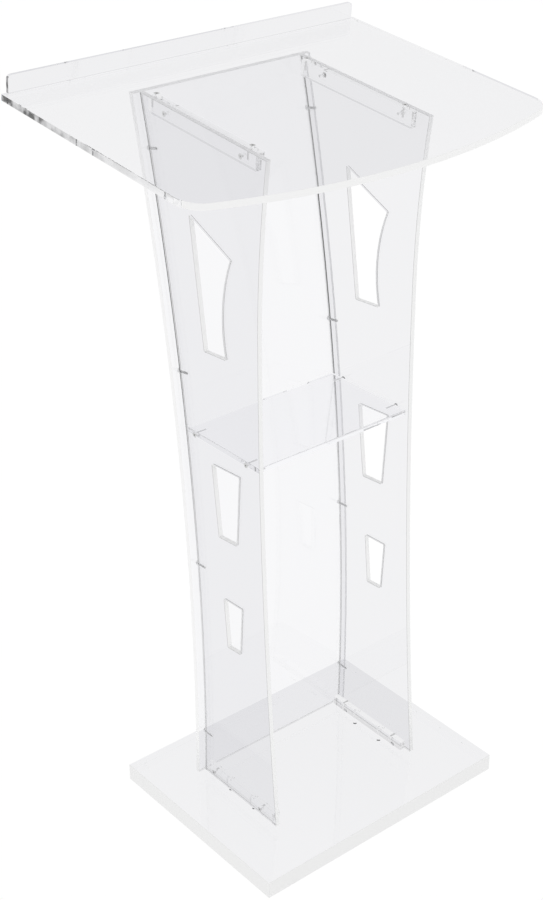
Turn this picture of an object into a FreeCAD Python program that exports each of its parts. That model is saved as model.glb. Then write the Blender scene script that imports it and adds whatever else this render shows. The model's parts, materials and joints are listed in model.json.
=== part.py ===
"""Free-standing presentation lectern in clear acrylic sheet, as a parametric FreeCAD document.

Millimetres. The origin is the centre of the base plate's underside, +Z is up, the reader stands
on the -Y side, where the body is open, and the audience is on the +Y side.
"""
import FreeCAD, Part
import math
import os

import Sketcher

# Driving dimensions, all in millimetres or degrees.
SIZES = {
    # base plate
    "base_width": 480,
    "base_depth": 365,
    "base_thickness": 30,
    # sheet thicknesses
    "panel_sheet": 8,
    "desk_sheet": 10,
    "strip_sheet": 6,
    # polished corners, and the film of air that screwed joints leave between two sheets
    "edge_break": 0.5,
    "joint_gap": 0.1,
    # side panels: outside spacing, and the arcs of their far and near edges
    "panel_spacing": 300,
    "far_arc_radius": 4260,
    "far_arc_y": 90.5,
    "far_arc_height": 150,
    "panel_far_height": 1142.8,
    "panel_near_top_y": -68.4,
    "waist_y": -50,
    "waist_height": 860,
    "lower_arc_radius": 8400,
    "upper_arc_radius": 1800,
    # large window, from the shelf's upper bay
    "big_low_height": 805.6,
    "big_low_near_y": 22.2,
    "big_low_far_y": 71.6,
    "big_low_far_height": 801.7,
    "big_top_far_y": 100,
    "big_top_far_height": 1000,
    "big_apex_y": 10.2,
    "big_apex_height": 959.8,
    "big_bulge_radius": 245,
    # middle window
    "mid_low_near_y": 2,
    "mid_low_near_height": 507.3,
    "mid_low_far_y": 44.1,
    "mid_low_far_height": 503.7,
    "mid_top_far_y": 58.6,
    "mid_top_far_height": 622.4,
    "mid_top_near_y": -5.3,
    "mid_top_near_height": 626.9,
    # small window
    "small_low_near_y": -4,
    "small_low_near_height": 314.4,
    "small_low_far_y": 26.2,
    "small_low_far_height": 311.7,
    "small_top_far_y": 34.5,
    "small_top_far_height": 397,
    "small_top_near_y": -8.7,
    "small_top_near_height": 399,
    # bent front panel
    "front_width": 325,
    # shelf
    "shelf_near_y": -47,
    "shelf_middle_height": 655,
    # desk plate, in the plane of its own underside
    "desk_tilt": 5.5,
    "desk_width": 642,
    "desk_far_reach": 83.5,
    "desk_near_reach": 389.7,
    "desk_bow_radius": 1000,
    "desk_corner_radius": 40,
    # strip on the desk's far edge
    "strip_length": 626,
    "strip_height": 26,
    "strip_corner_radius": 6,
    # cleats
    "cleat_width": 10,
    "top_cleat_height": 25,
    "top_cleat_length": 237,
    "top_cleat_setback": 16,
    "foot_cleat_height": 16,
    "foot_cleat_near_y": -78,
    "foot_cleat_far_y": 90,
    # countersunk socket screws
    "shank_radius": 2,
    "head_radius": 4,
    "head_height": 2.3,
    "socket_width": 2.5,
    "socket_depth": 1.5,
    "short_screw": 16,
    "middle_screw": 25,
    "long_screw": 40,
    "bore_gap": 0.3,
    "thread_gap": 0.05,
    "drill_overrun": 1,
    # screw places; those on the top cleats are measured down the slope from its upper end
    "front_screw_first_height": 109.3,
    "front_screw_pitch": 319,
    "front_screws_per_side": 4,
    "shelf_screw_near_y": -21.7,
    "shelf_screw_far_y": 99.4,
    "top_cleat_screw_far": 57,
    "top_cleat_screw_near": 225,
    "foot_cleat_screw_near_y": -49.7,
    "foot_cleat_screw_far_y": 69.3,
    "desk_screw_far": 22,
    "desk_screw_near": 233,
    "base_screw_near_y": -20,
    "base_screw_far_y": 40,
}

doc = FreeCAD.newDocument("lectern")
sheet = doc.addObject("Spreadsheet::Sheet", "Sizes")
for row, (alias, size) in enumerate(SIZES.items(), start=1):
    sheet.set(f"A{row}", alias)
    sheet.set(f"B{row}", str(size))
    sheet.setAlias(f"B{row}", alias)
doc.recompute()


# ---------------------------------------------------------------- expressions

def cell(alias):
    """The expression that reads one size from the sheet."""
    return f"Sizes.{alias}"


def value(expression):
    """The number that an expression gives now."""
    return float(sheet.evalExpression(expression))


def far_edge_y(height):
    """Y of the side panels' far edge at a height, as an expression."""
    radius = cell("far_arc_radius")
    rise = f"({height} - {cell('far_arc_height')})"
    return f"({cell('far_arc_y')} + {radius} - sqrt({radius}^2 - {rise}^2))"


GAP = cell("joint_gap")
FOOT_Z = f"({cell('base_thickness')} + {GAP})"
FAR_TOP_Z = cell("panel_far_height")
FAR_TOP_Y = far_edge_y(FAR_TOP_Z)
HALF_SPACING = f"{cell('panel_spacing')} / 2"
INNER_FACE = f"({HALF_SPACING} - {cell('panel_sheet')})"
CLEAR_OF_FACE = f"({INNER_FACE} - {GAP})"


def desk_line_z(y):
    """Height of the side panels' sloping top edge at a Y, as an expression."""
    return f"({FAR_TOP_Z} - ({FAR_TOP_Y} - ({y})) * tan({cell('desk_tilt')} * 1deg))"


def desk_line_meets_arc(radius):
    """Where the line of the sloping top meets an arc about the far edge's centre, as expressions."""
    tilt = f"({cell('desk_tilt')} * 1deg)"
    across = f"({cell('far_arc_y')} + {cell('far_arc_radius')} - {FAR_TOP_Y})"
    up = f"({cell('far_arc_height')} - {FAR_TOP_Z})"
    along_slope = f"({across} * cos({tilt}) + {up} * sin({tilt}))"
    off_slope = f"({up} * cos({tilt}) - {across} * sin({tilt}))"
    reach = f"({along_slope} - sqrt({radius}^2 - {off_slope}^2))"
    return (f"{FAR_TOP_Y} + {reach} * cos({tilt})", f"{FAR_TOP_Z} + {reach} * sin({tilt})")


# ---------------------------------------------------------------- sketch helpers

def new_body(name):
    """A PartDesign body that is named and labelled after its sub-part."""
    body = doc.addObject("PartDesign::Body", name)
    body.Label = name
    return body


def new_sketch(body, name, role, offset=None):
    """A sketch on one of the body's own origin planes, moved along its normal by an expression."""
    plane = next(feature for feature in body.Origin.OriginFeatures if feature.Role == role)
    sketch = body.newObject("Sketcher::SketchObject", name)
    sketch.AttachmentSupport = [(plane, "")]
    sketch.MapMode = "FlatFace"
    if offset is not None:
        sketch.setExpression("AttachmentOffset.Base.z", offset)
    return sketch


def bind(sketch, constraint, expression):
    """Adds a constraint whose value follows the sheet."""
    index = sketch.addConstraint(constraint)
    sketch.setExpression(f"Constraints[{index}]", expression)


def arc_between(start, end, radius, turn):
    """The short arc from start to end that turns left (turn 1) or right (turn -1)."""
    chord = end - start
    to_centre = FreeCAD.Vector(-chord.y, chord.x, 0).normalize() * turn
    depth = math.sqrt(radius ** 2 - (chord.Length / 2) ** 2)
    centre = (start + end) * 0.5 + to_centre * depth
    return Part.Arc(start, centre - to_centre * radius, end)


def trace(sketch, corners, arcs=None):
    """Draws a closed outline through corners given as pairs of expressions.

    arcs gives, for the edge that leaves a corner, its radius expression and its turn.
    """
    arcs = arcs or {}
    points = [FreeCAD.Vector(value(x), value(y), 0) for x, y in corners]
    ends = []
    for index, start in enumerate(points):
        end = points[(index + 1) % len(points)]
        if index in arcs:
            radius, turn = arcs[index]
            geometry = sketch.addGeometry(arc_between(start, end, value(radius), turn))
            ends.append((geometry, 1, 2) if turn > 0 else (geometry, 2, 1))
            bind(sketch, Sketcher.Constraint("Radius", geometry, value(radius)), radius)
        else:
            geometry = sketch.addGeometry(Part.LineSegment(start, end))
            ends.append((geometry, 1, 2))
    for index, (geometry, start_point, end_point) in enumerate(ends):
        following, following_start, _ = ends[(index + 1) % len(ends)]
        sketch.addConstraint(
            Sketcher.Constraint("Coincident", geometry, end_point, following, following_start))
        x, y = corners[index]
        across = Sketcher.Constraint("DistanceX", -1, 1, geometry, start_point, points[index].x)
        up = Sketcher.Constraint("DistanceY", -1, 1, geometry, start_point, points[index].y)
        bind(sketch, across, x)
        bind(sketch, up, y)


def box_corners(low_x, high_x, low_y, high_y):
    """The corners of a rectangle, as expressions."""
    return [(low_x, low_y), (high_x, low_y), (high_x, high_y), (low_x, high_y)]


def pad(body, sketch, length, midplane=False):
    """Pads a sketch by an expression."""
    feature = body.newObject("PartDesign::Pad", f"{body.Name}_pad")
    feature.Profile = sketch
    feature.Midplane = midplane
    feature.setExpression("Length", length)
    doc.recompute()
    return feature


def break_edges(body, feature):
    """Chamfers every edge of a pad, the way sawn and polished sheet is finished."""
    chamfer = body.newObject("PartDesign::Chamfer", f"{body.Name}_edges")
    names = [f"Edge{number}" for number in range(1, len(feature.Shape.Edges) + 1)]
    chamfer.Base = (feature, names)
    chamfer.setExpression("Size", cell("edge_break"))
    doc.recompute()
    return chamfer


def lay_on_desk(body):
    """Puts a body that is drawn in the plane of the desk's underside into its sloping place.

    In that plane X runs across, Y runs up the slope from the side panels' far top corners,
    and Z is square to the desk.
    """
    body.Placement = FreeCAD.Placement(
        FreeCAD.Vector(), FreeCAD.Rotation(FreeCAD.Vector(1, 0, 0), value(cell("desk_tilt"))))
    body.setExpression("Placement.Base.y", FAR_TOP_Y)
    body.setExpression("Placement.Base.z", FAR_TOP_Z)
    body.setExpression("Placement.Rotation.Angle", cell("desk_tilt"))
    doc.recompute()


# ---------------------------------------------------------------- sheets

def base_plate():
    """Thick rectangular plate that stands on the floor."""
    body = new_body("base_plate")
    sketch = new_sketch(body, "base_outline", "XY_Plane")
    half_width = f"{cell('base_width')} / 2"
    half_depth = f"{cell('base_depth')} / 2"
    trace(sketch, box_corners(f"-{half_width}", half_width, f"-{half_depth}", half_depth))
    break_edges(body, pad(body, sketch, cell("base_thickness")))
    return body


def window_corners(name):
    """The four corners of a lower window, from its near bottom corner round to its near top one."""
    places = ("low_near", "low_far", "top_far", "top_near")
    return [(cell(f"{name}_{place}_y"), cell(f"{name}_{place}_height")) for place in places]


def side_panel(name, low_x):
    """Upright sheet with a curved far edge, a waisted near edge and three windows."""
    body = new_body(name)
    sketch = new_sketch(body, f"{name}_outline", "YZ_Plane", low_x)
    lower = cell("lower_arc_radius")
    waist_rise = f"({cell('waist_height')} - {FOOT_Z})"
    near_foot_y = f"{cell('waist_y')} - {lower} + sqrt({lower}^2 - {waist_rise}^2)"
    near_top_y = cell("panel_near_top_y")
    outline = [
        (near_foot_y, FOOT_Z),
        (far_edge_y(FOOT_Z), FOOT_Z),
        (FAR_TOP_Y, FAR_TOP_Z),
        (near_top_y, desk_line_z(near_top_y)),
        (cell("waist_y"), cell("waist_height")),
    ]
    trace(sketch, outline, {
        1: (cell("far_arc_radius"), -1),
        3: (cell("upper_arc_radius"), -1),
        4: (lower, -1),
    })
    big_window = [
        (cell("big_low_near_y"), cell("big_low_height")),
        (cell("big_low_far_y"), cell("big_low_far_height")),
        (cell("big_top_far_y"), cell("big_top_far_height")),
        (cell("big_apex_y"), cell("big_apex_height")),
    ]
    trace(sketch, big_window, {3: (cell("big_bulge_radius"), -1)})
    trace(sketch, window_corners("mid"))
    trace(sketch, window_corners("small"))
    break_edges(body, pad(body, sketch, cell("panel_sheet")))
    return body


def front_panel():
    """Sheet bent along the side panels' far edges, from the base plate up to the desk."""
    body = new_body("front_panel")
    sketch = new_sketch(body, "front_section", "YZ_Plane")
    inner = f"({cell('far_arc_radius')} - {GAP})"
    outer = f"({inner} - {cell('panel_sheet')})"
    centre_y = f"({cell('far_arc_y')} + {cell('far_arc_radius')})"
    foot_rise = f"({FOOT_Z} - {cell('far_arc_height')})"
    section = [
        (f"{centre_y} - sqrt({inner}^2 - {foot_rise}^2)", FOOT_Z),
        (f"{centre_y} - sqrt({outer}^2 - {foot_rise}^2)", FOOT_Z),
        desk_line_meets_arc(outer),
        desk_line_meets_arc(inner),
    ]
    trace(sketch, section, {1: (outer, -1), 3: (inner, 1)})
    break_edges(body, pad(body, sketch, cell("front_width"), midplane=True))
    return body


def shelf():
    """Flat sheet between the side panels, from near their near edges back to the front panel."""
    body = new_body("shelf")
    half_sheet = f"{cell('panel_sheet')} / 2"
    underside = f"{cell('shelf_middle_height')} - {half_sheet}"
    sketch = new_sketch(body, "shelf_outline", "XY_Plane", underside)
    far_y = far_edge_y(f"({underside})")
    trace(sketch, box_corners(f"-{CLEAR_OF_FACE}", CLEAR_OF_FACE, cell("shelf_near_y"), far_y))
    break_edges(body, pad(body, sketch, cell("panel_sheet")))
    return body


def desk_plate():
    """Sloping sheet with a straight far edge, a bowed near edge and rounded near corners."""
    body = new_body("desk_plate")
    sketch = new_sketch(body, "desk_outline", "XY_Plane", GAP)
    half = f"{cell('desk_width')} / 2"
    far = cell("desk_far_reach")
    bow = cell("desk_bow_radius")
    corner = cell("desk_corner_radius")
    bow_centre = f"({bow} - {cell('desk_near_reach')})"
    corner_x = f"({half} - {corner})"
    corner_drop = f"sqrt(({bow} - {corner})^2 - {corner_x}^2)"
    side_end = f"{bow_centre} - {corner_drop}"
    grow = f"{bow} / ({bow} - {corner})"
    bow_end_x = f"{corner_x} * {grow}"
    bow_end_y = f"{bow_centre} - {corner_drop} * {grow}"
    outline = [
        (f"-({half})", far),
        (f"-({half})", side_end),
        (f"-({bow_end_x})", bow_end_y),
        (bow_end_x, bow_end_y),
        (half, side_end),
        (half, far),
    ]
    trace(sketch, outline, {1: (corner, 1), 2: (bow, 1), 3: (corner, 1)})
    break_edges(body, pad(body, sketch, cell("desk_sheet")))
    lay_on_desk(body)
    return body


def desk_strip():
    """Low upright strip with rounded top corners, standing on the desk's far edge."""
    body = new_body("desk_strip")
    back = f"{cell('strip_sheet')} - {cell('desk_far_reach')}"
    sketch = new_sketch(body, "strip_outline", "XZ_Plane", back)
    half = f"{cell('strip_length')} / 2"
    corner = cell("strip_corner_radius")
    bottom = f"{cell('desk_sheet')} + 2 * {GAP}"
    top = f"{bottom} + {cell('strip_height')}"
    outline = [
        (f"-({half})", bottom),
        (half, bottom),
        (half, f"{top} - {corner}"),
        (f"{half} - {corner}", top),
        (f"{corner} - {half}", top),
        (f"-({half})", f"{top} - {corner}"),
    ]
    trace(sketch, outline, {2: (corner, 1), 4: (corner, 1)})
    feature = pad(body, sketch, cell("strip_sheet"))
    feature.Reversed = True
    doc.recompute()
    break_edges(body, feature)
    lay_on_desk(body)
    return body


def top_cleat(name, low_x):
    """Square-edged bar under the desk, against the inner face of a side panel."""
    body = new_body(name)
    sketch = new_sketch(body, f"{name}_outline", "YZ_Plane", low_x)
    far = f"-{cell('top_cleat_setback')}"
    near = f"{far} - {cell('top_cleat_length')}"
    trace(sketch, box_corners(near, far, f"-{cell('top_cleat_height')}", "0"))
    break_edges(body, pad(body, sketch, cell("cleat_width")))
    lay_on_desk(body)
    return body


def foot_cleat(name, low_x):
    """Square-edged bar on the base plate, against the inner face of a side panel."""
    body = new_body(name)
    sketch = new_sketch(body, f"{name}_outline", "YZ_Plane", low_x)
    top = f"{FOOT_Z} + {cell('foot_cleat_height')}"
    trace(sketch, box_corners(cell("foot_cleat_near_y"), cell("foot_cleat_far_y"), FOOT_Z, top))
    break_edges(body, pad(body, sketch, cell("cleat_width")))
    return body


# ---------------------------------------------------------------- screws and their bores

def countersunk_screw(name, length):
    """Screw along +Z, with the flat of its countersunk head at the origin and a hexagon socket."""
    body = new_body(name)
    section = new_sketch(body, f"{name}_section", "XZ_Plane")
    trace(section, [
        ("0", "0"),
        (cell("head_radius"), "0"),
        (cell("shank_radius"), cell("head_height")),
        (cell("shank_radius"), length),
        ("0", length),
    ])
    turned = body.newObject("PartDesign::Revolution", f"{name}_turned")
    turned.Profile = section
    turned.ReferenceAxis = (section, ["V_Axis"])
    turned.Angle = 360
    doc.recompute()
    socket = new_sketch(body, f"{name}_socket_outline", "XY_Plane")
    corner = f"{cell('socket_width')} / sqrt(3)"
    turns = [f"{angle}deg" for angle in range(0, 360, 60)]
    trace(socket, [(f"{corner} * cos({turn})", f"{corner} * sin({turn})") for turn in turns])
    pocket = body.newObject("PartDesign::Pocket", f"{name}_socket")
    pocket.Profile = socket
    pocket.Reversed = True
    pocket.setExpression("Length", cell("socket_depth"))
    doc.recompute()
    if pocket.Shape.Volume >= turned.Shape.Volume:
        raise RuntimeError(f"{name}: the socket cuts nothing")
    return body


def bore(first_sheet, length):
    """Hole for one screw along +Z: seat for the head, clearance in the first sheet, then thread."""
    gap = value(cell("bore_gap"))
    thread_gap = value(cell("thread_gap"))
    shank = value(cell("shank_radius"))
    head = value(cell("head_radius"))
    seat = Part.makeCone(head + thread_gap, shank + thread_gap, value(cell("head_height")))
    clearance = Part.makeCylinder(shank + gap, first_sheet)
    thread = Part.makeCylinder(shank + thread_gap, length + value(cell("drill_overrun")))
    return seat.fuse([clearance, thread]).removeSplitter()


def place(position, direction):
    """Placement that turns +Z into a direction at a position."""
    turn = FreeCAD.Rotation(FreeCAD.Vector(0, 0, 1), FreeCAD.Vector(*direction))
    return FreeCAD.Placement(FreeCAD.Vector(*position), turn)


def desk_frame():
    """Placement of the plane of the desk's underside."""
    turn = FreeCAD.Rotation(FreeCAD.Vector(1, 0, 0), value(cell("desk_tilt")))
    return FreeCAD.Placement(FreeCAD.Vector(0, value(FAR_TOP_Y), value(FAR_TOP_Z)), turn)


def front_screw_places(side):
    """Screws square to the bent front panel, into a side panel's edge, evenly spaced in height."""
    radius = value(cell("far_arc_radius"))
    outer = radius - value(GAP) - value(cell("panel_sheet"))
    centre_y = value(cell("far_arc_y")) + radius
    centre_z = value(cell("far_arc_height"))
    x = side * (value(HALF_SPACING) - value(cell("panel_sheet")) / 2)
    places = []
    for number in range(int(value(cell("front_screws_per_side")))):
        height = value(cell("front_screw_first_height")) + number * value(cell("front_screw_pitch"))
        angle = math.asin((height - centre_z) / radius)
        outward = FreeCAD.Vector(0, -math.cos(angle), math.sin(angle))
        head = FreeCAD.Vector(x, centre_y, centre_z) + outward * outer
        places.append(place(head, outward))
    return places


def side_screw_places(side, yz_pairs):
    """Screws from a side panel's outer face straight inwards."""
    x = side * value(HALF_SPACING)
    return [place((x, y, z), (-side, 0, 0)) for y, z in yz_pairs]


def shelf_screw_places(side):
    """Screws into the shelf's edge."""
    height = value(cell("shelf_middle_height"))
    ys = (value(cell("shelf_screw_near_y")), value(cell("shelf_screw_far_y")))
    return side_screw_places(side, [(y, height) for y in ys])


def foot_cleat_screw_places(side):
    """Screws through a side panel into the foot cleat, at half the cleat's height."""
    height = value(FOOT_Z) + value(cell("foot_cleat_height")) / 2
    ys = (value(cell("foot_cleat_screw_near_y")), value(cell("foot_cleat_screw_far_y")))
    return side_screw_places(side, [(y, height) for y in ys])


def down_slope(kind):
    """The two places of one kind of screw along the top cleat, in the desk's plane."""
    return [-value(cell(f"{kind}_{end}")) for end in ("far", "near")]


def top_cleat_screw_places(side):
    """Screws through a side panel into the top cleat, at half the cleat's height."""
    x = side * value(HALF_SPACING)
    z = -value(cell("top_cleat_height")) / 2
    frame = desk_frame()
    return [frame * place((x, y, z), (-side, 0, 0)) for y in down_slope("top_cleat_screw")]


def desk_screw_places(side):
    """Screws down through the desk into the middle of the top cleat's width."""
    x = side * (value(CLEAR_OF_FACE) - value(cell("cleat_width")) / 2)
    z = value(GAP) + value(cell("desk_sheet"))
    frame = desk_frame()
    return [frame * place((x, y, z), (0, 0, -1)) for y in down_slope("desk_screw")]


def base_screw_places(side):
    """Screws up through the base plate into the middle of the foot cleat's width."""
    x = side * (value(CLEAR_OF_FACE) - value(cell("cleat_width")) / 2)
    ys = (value(cell("base_screw_near_y")), value(cell("base_screw_far_y")))
    return [place((x, y, 0), (0, 0, 1)) for y in ys]


def copies(shape, places):
    """A compound of one shape at several places."""
    placed = []
    for spot in places:
        copy = shape.copy()
        copy.Placement = spot
        placed.append(copy)
    return Part.makeCompound(placed)


def feature(name, shape):
    """A Part feature that holds a shape."""
    held = doc.addObject("Part::Feature", name)
    held.Label = name
    held.Shape = shape
    held.Placement = FreeCAD.Placement()
    return held


def drilled(name, sheet_body, bores):
    """The named sub-part: a body less the bores that run through it."""
    sheet_body.Label = f"{name}_blank"
    tool = feature(f"{name}_bores", Part.makeCompound([held.Shape for held in bores]))
    cut = doc.addObject("Part::Cut", f"{name}_drilled")
    cut.Base = sheet_body
    cut.Tool = tool
    cut.Label = name
    doc.recompute()
    if cut.Shape.Volume >= sheet_body.Shape.Volume:
        raise RuntimeError(f"{name}: the bores cut nothing")
    return cut


# ---------------------------------------------------------------- the lectern

# Each kind of screw: the places on one side, the screw's length and the sheet it passes first.
SCREWS = {
    "front_panel_screws": (front_screw_places, "middle_screw", "panel_sheet"),
    "shelf_screws": (shelf_screw_places, "middle_screw", "panel_sheet"),
    "top_cleat_screws": (top_cleat_screw_places, "short_screw", "panel_sheet"),
    "foot_cleat_screws": (foot_cleat_screw_places, "short_screw", "panel_sheet"),
    "desk_screws": (desk_screw_places, "middle_screw", "desk_sheet"),
    "base_screws": (base_screw_places, "long_screw", "base_thickness"),
}
SIDES = {"left": -1, "right": 1}

screws = {length: countersunk_screw(length, cell(length))
          for length in ("short_screw", "middle_screw", "long_screw")}
parts = []
bores = {}
for kind, (places_on, length, first_sheet) in SCREWS.items():
    hole = bore(value(cell(first_sheet)), value(cell(length)))
    for side, sign in SIDES.items():
        places = places_on(sign)
        parts.append(feature(f"{kind}_{side}", copies(screws[length].Shape, places)))
        bores[kind, side] = feature(f"{kind}_{side}_holes", copies(hole, places))


def both_sides(kind):
    """The bores of one kind of screw on both sides."""
    return [bores[kind, side] for side in SIDES]


parts.append(drilled("base_plate", base_plate(), both_sides("base_screws")))
parts.append(drilled("front_panel", front_panel(), both_sides("front_panel_screws")))
parts.append(drilled("shelf", shelf(), both_sides("shelf_screws")))
parts.append(drilled("desk_plate", desk_plate(), both_sides("desk_screws")))
parts.append(desk_strip())

# The lower X of each side's panel and cleats.
PANEL_LOW_X = {"left": f"-{HALF_SPACING}", "right": INNER_FACE}
CLEAT_LOW_X = {"left": f"-{CLEAR_OF_FACE}", "right": f"{CLEAR_OF_FACE} - {cell('cleat_width')}"}
for side in SIDES:
    through_panel = ("front_panel_screws", "shelf_screws", "top_cleat_screws", "foot_cleat_screws")
    panel = side_panel(f"side_panel_{side}", PANEL_LOW_X[side])
    parts.append(drilled(f"side_panel_{side}", panel, [bores[kind, side] for kind in through_panel]))
    cleat = top_cleat(f"top_cleat_{side}", CLEAT_LOW_X[side])
    top_bores = [bores["top_cleat_screws", side], bores["desk_screws", side]]
    parts.append(drilled(f"top_cleat_{side}", cleat, top_bores))
    cleat = foot_cleat(f"foot_cleat_{side}", CLEAT_LOW_X[side])
    foot_bores = [bores["foot_cleat_screws", side], bores["base_screws", side]]
    parts.append(drilled(f"foot_cleat_{side}", cleat, foot_bores))

doc.recompute()
for item in doc.Objects:
    if "Invalid" in item.State or "Error" in item.State:
        raise RuntimeError(f"{item.Label}: {item.State}")

os.makedirs("parts", exist_ok=True)
for item in parts:
    if item.Shape.isNull() or not item.Shape.isValid():
        raise RuntimeError(f"{item.Label}: bad shape")
    item.Shape.exportStep(os.path.join("parts", f"{item.Label}.step"))
    print(f"{item.Label}: {len(item.Shape.Solids)} solids, {item.Shape.Volume / 1000:.1f} cm3")
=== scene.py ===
"""Looks for a clear acrylic lectern: its sheets as cast acrylic, its screws as steel, and a pale studio."""
import json
import math

import bpy
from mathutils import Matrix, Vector


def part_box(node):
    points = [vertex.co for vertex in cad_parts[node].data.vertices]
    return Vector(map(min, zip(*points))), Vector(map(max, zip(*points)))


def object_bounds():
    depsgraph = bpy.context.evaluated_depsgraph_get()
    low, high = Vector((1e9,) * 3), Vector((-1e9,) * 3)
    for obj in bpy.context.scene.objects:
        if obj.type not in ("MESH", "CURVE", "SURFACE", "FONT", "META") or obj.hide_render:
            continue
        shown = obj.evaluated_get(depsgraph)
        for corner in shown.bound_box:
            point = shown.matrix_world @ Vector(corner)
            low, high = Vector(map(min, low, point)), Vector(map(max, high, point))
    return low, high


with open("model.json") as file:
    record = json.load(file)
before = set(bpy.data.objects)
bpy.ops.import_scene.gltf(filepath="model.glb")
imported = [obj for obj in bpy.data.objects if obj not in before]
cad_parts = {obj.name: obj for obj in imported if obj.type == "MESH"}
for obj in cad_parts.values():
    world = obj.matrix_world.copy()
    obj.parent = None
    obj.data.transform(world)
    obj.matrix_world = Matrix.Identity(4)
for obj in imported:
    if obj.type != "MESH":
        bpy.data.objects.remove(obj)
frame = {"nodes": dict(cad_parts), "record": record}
CAD_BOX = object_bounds()

# Light bounces dozens of times between a sheet's faces on its way from edge to edge.
LIGHT_BOUNCES = 200

# Acrylic: its refraction, less in the cleats so that they hardly show, and a painted lift towards lilac,
# standing in for the lilac-grey studio seen through the sheets.
ACRYLIC_INDEX = 1.49
CLEAT_INDEX = 1.3
PAINTED_LILAC_LIFT = 0.012
# What one face lets through towards the studio's light.
SHADOW_TINT = (0.97, 0.97, 0.975, 1)
# Its faint haze and waves: noise scale and detail, then how strong they are.
HAZE_NOISE = (9.0, 3.0)
MOST_HAZE = 0.02
WAVE_NOISE = (5.0, 1.0)
WAVE_STRENGTH = 0.03
WAVE_DEPTH = 0.002

# Steel: the noise of its turning marks, and the roughness they range over.
MARK_NOISE = (900.0, 2.0)
STEEL_ROUGHNESS = (0.12, 0.32)

# Faces are told apart by how far their normals point along an axis.
SQUARE_ON = 0.8
HALF_ON = 0.5
BEVEL_LEAST = 0.6
BOW_LEAST = 0.3

# Painted reflection: the dark line where the front panel meets the side panels, standing in for the dark
# studio reflected inside the sheet there, and the heights it fades between.
JOINT_LINE_WIDTH = 0.0035
JOINT_FADE = (0.35, 0.65)

# Painted shade on the desk's ends, standing in for the dark surroundings seen through them: their noise,
# weakest blotch, the noise band they come from, and the fade along Y.
BLOTCH_NOISE = (55.0, 4.0)
FAINTEST_BLOTCH = 0.5
BLOTCH_BAND = (0.38, 0.6)
END_SHADE_FADE = (0.15, 0.8)

# Studio: the glow of floor and backdrop, and the dome's grey by the sine of its height.
FLOOR_SIZE = 60
FLOOR_DROP = 0.0005
FLOOR_GLOW = 1.005
DOME_BANDS = ((0.30, 1.0), (0.40, 0.8), (0.60, 0.8), (0.72, 1.0))

# Camera: where it stands round the lectern, what it looks at, and its lens, in degrees, metres and mm.
CAMERA_AZIMUTH = -39.62
CAMERA_ELEVATION = 28.69
CAMERA_DISTANCE = 2.639
CAMERA_TARGET = Vector((0.0002, 0.1017, 0.5762))
CAMERA_SENSOR = 36
CAMERA_LENS = 112.5


# ---------------------------------------------------------------- node helpers

def new_material(name):
    """An empty node material and its tree."""
    material = bpy.data.materials.new(name)
    material.use_nodes = True
    tree = material.node_tree
    tree.nodes.clear()
    return material, tree


def add(tree, kind, **values):
    """A node, with its input sockets set by name."""
    node = tree.nodes.new(kind)
    for name, setting in values.items():
        node.inputs[name.replace("_", " ")].default_value = setting
    return node


def surface_noise(tree, scale, detail):
    """Noise in the object's own metres."""
    coordinates = tree.nodes.new("ShaderNodeTexCoord")
    noise = add(tree, "ShaderNodeTexNoise", Scale=scale, Detail=detail)
    tree.links.new(coordinates.outputs["Object"], noise.inputs["Vector"])
    return noise.outputs["Fac"]


def ranged(tree, source, low, high, source_low=0.0, source_high=1.0):
    """Maps a value from its own range, 0 to 1 unless given, to another one."""
    spread = tree.nodes.new("ShaderNodeMapRange")
    spread.inputs["From Min"].default_value = source_low
    spread.inputs["From Max"].default_value = source_high
    spread.inputs["To Min"].default_value = low
    spread.inputs["To Max"].default_value = high
    tree.links.new(source, spread.inputs["Value"])
    return spread.outputs["Result"]


def maths(tree, operation, first, second):
    """The result of a maths node on two sockets or numbers."""
    node = tree.nodes.new("ShaderNodeMath")
    node.operation = operation
    for socket, source in zip(node.inputs, (first, second)):
        if isinstance(source, bpy.types.NodeSocket):
            tree.links.new(source, socket)
        else:
            socket.default_value = source
    return node.outputs["Value"]


def product(tree, *masks):
    """The masks multiplied together."""
    result = masks[0]
    for mask in masks[1:]:
        result = maths(tree, "MULTIPLY", result, mask)
    return result


def size_of(tree, source):
    """A value without its sign."""
    return maths(tree, "ABSOLUTE", source, 0.0)


def place(tree, axis):
    """A coordinate of the surface point, in metres."""
    coordinates = tree.nodes.new("ShaderNodeTexCoord")
    split = tree.nodes.new("ShaderNodeSeparateXYZ")
    tree.links.new(coordinates.outputs["Object"], split.inputs["Vector"])
    return split.outputs[axis]


# ---------------------------------------------------------------- masks of a sheet's faces

def outside(tree):
    """1 where a face is met from the air, 0 where it is met from within the sheet."""
    geometry = tree.nodes.new("ShaderNodeNewGeometry")
    return ranged(tree, geometry.outputs["Backfacing"], 1.0, 0.0)


def normal_along(tree, axis):
    """A face's normal along an axis, turned towards the side it is met from."""
    geometry = tree.nodes.new("ShaderNodeNewGeometry")
    split = tree.nodes.new("ShaderNodeSeparateXYZ")
    tree.links.new(geometry.outputs["True Normal"], split.inputs["Vector"])
    return split.outputs[axis]


def facing(tree, axis, sign, least=SQUARE_ON):
    """1 on the faces whose outward normal points along an axis (sign 1) or against it (sign -1)."""
    turned = ranged(tree, outside(tree), -sign, sign)
    outward = product(tree, normal_along(tree, axis), turned)
    return maths(tree, "GREATER_THAN", outward, least)


def across(tree, axis):
    """How squarely a face lies across an axis, from 0 to 1."""
    return size_of(tree, normal_along(tree, axis))


def cut_edges(axis, underside=1.0, inside=1.0):
    """Makes the mask of a sheet's cut edges, which are painted grey: everything that doesn't face along its
    thickness.

    It is weaker by the given factors on undersides, and on edges seen from within the sheet.
    """
    def mask(tree):
        edges = maths(tree, "LESS_THAN", across(tree, axis), SQUARE_ON)
        below = ranged(tree, facing(tree, "Z", -1.0), 1.0, underside)
        within = ranged(tree, outside(tree), inside, 1.0)
        return product(tree, edges, below, within)
    return mask


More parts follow.
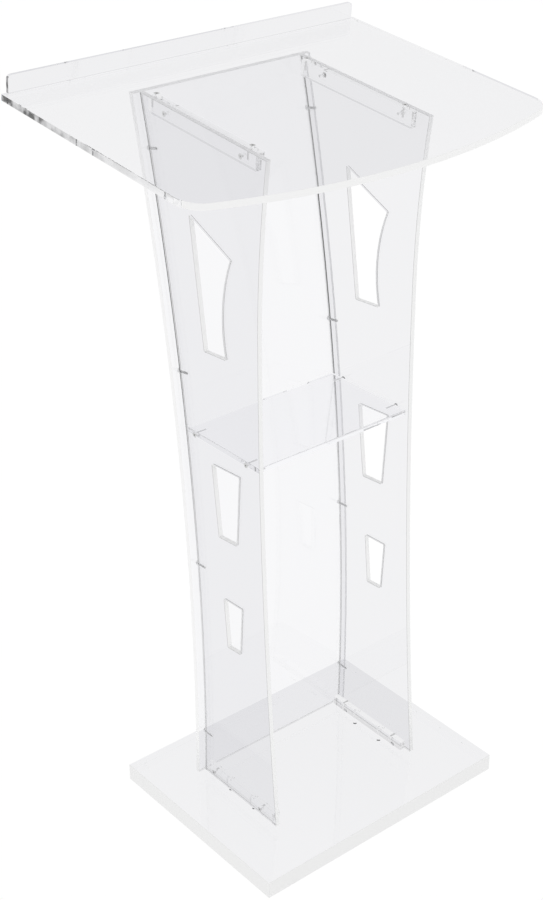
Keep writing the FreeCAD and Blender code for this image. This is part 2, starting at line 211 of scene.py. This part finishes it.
def reader_edge(tree):
    """The desk's bowed near edge, seen from the outside, where it is painted grey."""
    return product(tree, facing(tree, "Y", -1.0, least=BOW_LEAST), outside(tree))


def bevels(tree):
    """The narrow bevels along a side panel's edges."""
    slope = across(tree, "X")
    steep = maths(tree, "GREATER_THAN", slope, BEVEL_LEAST)
    return product(tree, steep, maths(tree, "LESS_THAN", slope, SQUARE_ON))


def painted_joint_reflection(tree):
    """The outer corner of a side panel's far edge, against the front panel: a dark line of painted
    reflection, standing in for the dark studio reflected inside the sheet.

    It is strongest in the upper part, and dies away below the shelf.
    """
    low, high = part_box("side_panel_right")
    fade_low, fade_high = (low.z + (high.z - low.z) * share for share in JOINT_FADE)
    fade = ranged(tree, place(tree, "Z"), 0.0, 1.0, fade_low, fade_high)
    off_middle = size_of(tree, place(tree, "X"))
    outer = maths(tree, "GREATER_THAN", off_middle, high.x - JOINT_LINE_WIDTH)
    front_panel_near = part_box("front_panel")[0].y
    far = maths(tree, "GREATER_THAN", place(tree, "Y"), front_panel_near - JOINT_LINE_WIDTH)
    return product(tree, facing(tree, "Y", 1.0, least=HALF_ON), far, outer, fade)


def painted_end_shade(tree):
    """Painted shade: grey blotches on the outside of both ends of the desk or its strip, standing in for
    the dark surroundings seen through them, fading towards the reader.
    """
    low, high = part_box("desk_plate")
    fade_low, fade_high = (low.y + (high.y - low.y) * share for share in END_SHADE_FADE)
    fade = ranged(tree, place(tree, "Y"), 0.0, 1.0, fade_low, fade_high)
    ends = maths(tree, "GREATER_THAN", across(tree, "X"), SQUARE_ON)
    noise = surface_noise(tree, *BLOTCH_NOISE)
    blotches = ranged(tree, noise, FAINTEST_BLOTCH, 1.0, *BLOTCH_BAND)
    return product(tree, ends, blotches, fade, outside(tree))


# ---------------------------------------------------------------- materials

def paint_edge_shade(tree, glass, colour, edges):
    """Paints a sheet's edges with grey painted shade, and shuts the opaque ones to light."""
    clear_part = None
    shade = None
    for face_mask, grey, opaque in edges:
        mask = face_mask(tree)
        before = shade
        shade = tree.nodes.new("ShaderNodeMix")
        shade.data_type = "RGBA"
        shade.inputs["A"].default_value = colour
        shade.inputs["B"].default_value = (grey, grey, grey, 1)
        tree.links.new(mask, shade.inputs["Factor"])
        if before is not None:
            tree.links.new(before.outputs["Result"], shade.inputs["A"])
        if opaque:
            open_part = ranged(tree, mask, 1.0, 0.0)
            clear_part = open_part if clear_part is None else product(tree, open_part, clear_part)
    if shade is not None:
        tree.links.new(shade.outputs["Result"], glass.inputs["Base Color"])
    if clear_part is not None:
        tree.links.new(clear_part, glass.inputs["Transmission Weight"])


def acrylic(name, clearness_with_painted_shade, *edges, index=ACRYLIC_INDEX):
    """Clear cast acrylic: polished, barely wavy, tinted a faint lilac grey that is partly its own and
    partly painted shade of the studio seen through it.

    Each of the edges is a mask of its faces, their painted grey, and whether they are opaque.
    """
    material, tree = new_material(name)
    glass = add(tree, "ShaderNodeBsdfPrincipled", IOR=index, Transmission_Weight=1.0)
    # The tint: the acrylic's own slight grey plus painted shade of the lilac-grey studio seen through it.
    colour = (clearness_with_painted_shade, clearness_with_painted_shade, min(clearness_with_painted_shade + PAINTED_LILAC_LIFT, 1.0), 1)
    glass.inputs["Base Color"].default_value = colour
    haze = surface_noise(tree, *HAZE_NOISE)
    tree.links.new(ranged(tree, haze, 0.0, MOST_HAZE), glass.inputs["Roughness"])
    bump = add(tree, "ShaderNodeBump", Strength=WAVE_STRENGTH, Distance=WAVE_DEPTH)
    tree.links.new(surface_noise(tree, *WAVE_NOISE), bump.inputs["Height"])
    tree.links.new(bump.outputs["Normal"], glass.inputs["Normal"])
    paint_edge_shade(tree, glass, colour, edges)
    clear = add(tree, "ShaderNodeBsdfTransparent", Color=SHADOW_TINT)
    path = tree.nodes.new("ShaderNodeLightPath")
    pick = tree.nodes.new("ShaderNodeMixShader")
    tree.links.new(path.outputs["Is Shadow Ray"], pick.inputs["Fac"])
    tree.links.new(glass.outputs["BSDF"], pick.inputs[1])
    tree.links.new(clear.outputs["BSDF"], pick.inputs[2])
    out = tree.nodes.new("ShaderNodeOutputMaterial")
    tree.links.new(pick.outputs["Shader"], out.inputs["Surface"])
    return material


def plated_steel(name, brightness):
    """Plated steel with faint turning marks."""
    material, tree = new_material(name)
    metal = add(tree, "ShaderNodeBsdfPrincipled", Metallic=1.0)
    metal.inputs["Base Color"].default_value = (brightness, brightness, brightness, 1)
    marks = surface_noise(tree, *MARK_NOISE)
    tree.links.new(ranged(tree, marks, *STEEL_ROUGHNESS), metal.inputs["Roughness"])
    out = tree.nodes.new("ShaderNodeOutputMaterial")
    tree.links.new(metal.outputs["BSDF"], out.inputs["Surface"])
    return material


def finish_node(name, material):
    """Gives a CAD node its material."""
    mesh = frame["nodes"][name].data
    mesh.materials.clear()
    mesh.materials.append(material)


STEEL = plated_steel("screw_steel", 0.62)
# Lighter steel for the screws up through the base, so that they hardly show through it.
BRIGHT_STEEL = plated_steel("bright_screw_steel", 0.93)

# Edges: the mask of the faces, their grey, and whether they are opaque. The greys are painted shade: opaque
# grey edges and bevels stand in for the grey that the clear edges show from the studio around them.
BASE_RIM = (cut_edges("Z", inside=0.0), 0.85, True)
SIDE_EDGES = (cut_edges("X", underside=0.0), 0.88, True)
FRONT_EDGES = (cut_edges("Y", underside=0.0), 0.93, True)
READER_EDGE = (reader_edge, 0.9, True)
BEVELS = (bevels, 0.6, True)
# A near-black line of painted reflection at the joint of the panels.
PAINTED_JOINT_REFLECTION = (painted_joint_reflection, 0.05, True)
# Grey blotches of painted shade on the desk's ends.
PAINTED_END_SHADE = (painted_end_shade, 0.01, False)

# Each kind of sheet, by the start of its nodes' names, with how clear it is: the acrylic's own slight grey
# plus painted shade of the studio seen through it, set sheet by sheet.
SHEETS = {
    "base_plate": acrylic("base_acrylic", 0.885, BASE_RIM),
    "side_panel": acrylic("side_acrylic", 0.885, SIDE_EDGES, BEVELS, PAINTED_JOINT_REFLECTION),
    "front_panel": acrylic("front_acrylic", 0.935, FRONT_EDGES),
    "shelf": acrylic("shelf_acrylic", 0.985),
    "desk_plate": acrylic("desk_acrylic", 0.92, READER_EDGE, PAINTED_END_SHADE),
    "desk_strip": acrylic("strip_acrylic", 0.87, PAINTED_END_SHADE),
    "top_cleat": acrylic("top_cleat_acrylic", 1.0, index=CLEAT_INDEX),
    "foot_cleat": acrylic("foot_cleat_acrylic", 1.0, index=CLEAT_INDEX),
}
for part in frame["record"]["subparts"]:
    node = part["node"]
    if node.startswith("base_screws"):
        finish_node(node, BRIGHT_STEEL)
    elif part["material_slot"] == "screw_steel":
        finish_node(node, STEEL)
    else:
        finish_node(node, next(SHEETS[kind] for kind in SHEETS if node.startswith(kind)))


# ---------------------------------------------------------------- studio

def studio_floor():
    """Plain white light table, large enough to fill every view, which leaves no shadow."""
    below_the_base = (0, 0, CAD_BOX[0][2] - FLOOR_DROP)
    bpy.ops.mesh.primitive_plane_add(size=FLOOR_SIZE, location=below_the_base)
    floor = bpy.context.object
    floor.name = "studio_floor"
    material, tree = new_material("studio_white")
    glow = add(tree, "ShaderNodeEmission", Strength=FLOOR_GLOW)
    out = tree.nodes.new("ShaderNodeOutputMaterial")
    tree.links.new(glow.outputs["Emission"], out.inputs["Surface"])
    floor.data.materials.append(material)


def dome_grey(tree):
    """The dome's colour by height: white walls, a grey band above them, a broad softbox overhead."""
    direction = tree.nodes.new("ShaderNodeTexCoord")
    split = tree.nodes.new("ShaderNodeSeparateXYZ")
    tree.links.new(direction.outputs["Generated"], split.inputs["Vector"])
    rise = tree.nodes.new("ShaderNodeValToRGB")
    tree.links.new(split.outputs["Z"], rise.inputs["Fac"])
    ramp = rise.color_ramp
    ramp.interpolation = "EASE"
    while len(ramp.elements) < len(DOME_BANDS):
        ramp.elements.new(1.0)
    for stop, (sine, grey) in zip(ramp.elements, DOME_BANDS):
        stop.position = sine
        stop.color = (grey, grey, grey, 1)
    return rise.outputs["Color"]


def studio_light():
    """Light from the whole dome, with a plain white backdrop behind the lectern."""
    world = bpy.data.worlds.new("studio_dome")
    bpy.context.scene.world = world
    world.use_nodes = True
    tree = world.node_tree
    tree.nodes.clear()
    dome = tree.nodes.new("ShaderNodeBackground")
    tree.links.new(dome_grey(tree), dome.inputs["Color"])
    backdrop = add(tree, "ShaderNodeBackground", Color=(1, 1, 1, 1), Strength=FLOOR_GLOW)
    seen = tree.nodes.new("ShaderNodeLightPath")
    pick = tree.nodes.new("ShaderNodeMixShader")
    tree.links.new(seen.outputs["Is Camera Ray"], pick.inputs["Fac"])
    tree.links.new(dome.outputs["Background"], pick.inputs[1])
    tree.links.new(backdrop.outputs["Background"], pick.inputs[2])
    out = tree.nodes.new("ShaderNodeOutputWorld")
    tree.links.new(pick.outputs["Shader"], out.inputs["Surface"])


def studio_camera():
    """Camera above the reader's left, looking down at the desk."""
    azimuth = math.radians(CAMERA_AZIMUTH)
    elevation = math.radians(CAMERA_ELEVATION)
    back = Vector((
        math.sin(azimuth) * math.cos(elevation),
        -math.cos(azimuth) * math.cos(elevation),
        math.sin(elevation),
    ))
    lens = bpy.data.cameras.new("camera")
    lens.sensor_fit = "HORIZONTAL"
    lens.sensor_width = CAMERA_SENSOR
    lens.lens = CAMERA_LENS
    camera = bpy.data.objects.new("camera", lens)
    camera.location = CAMERA_TARGET + back * CAMERA_DISTANCE
    camera.rotation_euler = (-back).to_track_quat("-Z", "Y").to_euler()
    bpy.context.scene.collection.objects.link(camera)
    bpy.context.scene.camera = camera


def render_settings():
    """Plain view transform, no roulette on long light paths, and an even number of samples."""
    scene = bpy.context.scene
    scene.view_settings.view_transform = "Standard"
    scene.cycles.use_adaptive_sampling = False
    scene.cycles.use_denoising = True
    scene.cycles.min_light_bounces = LIGHT_BOUNCES
    scene.cycles.max_bounces = LIGHT_BOUNCES
    scene.cycles.transmission_bounces = LIGHT_BOUNCES
    scene.cycles.glossy_bounces = LIGHT_BOUNCES
    scene.cycles.transparent_max_bounces = LIGHT_BOUNCES


studio_floor()
studio_light()
studio_camera()
render_settings()
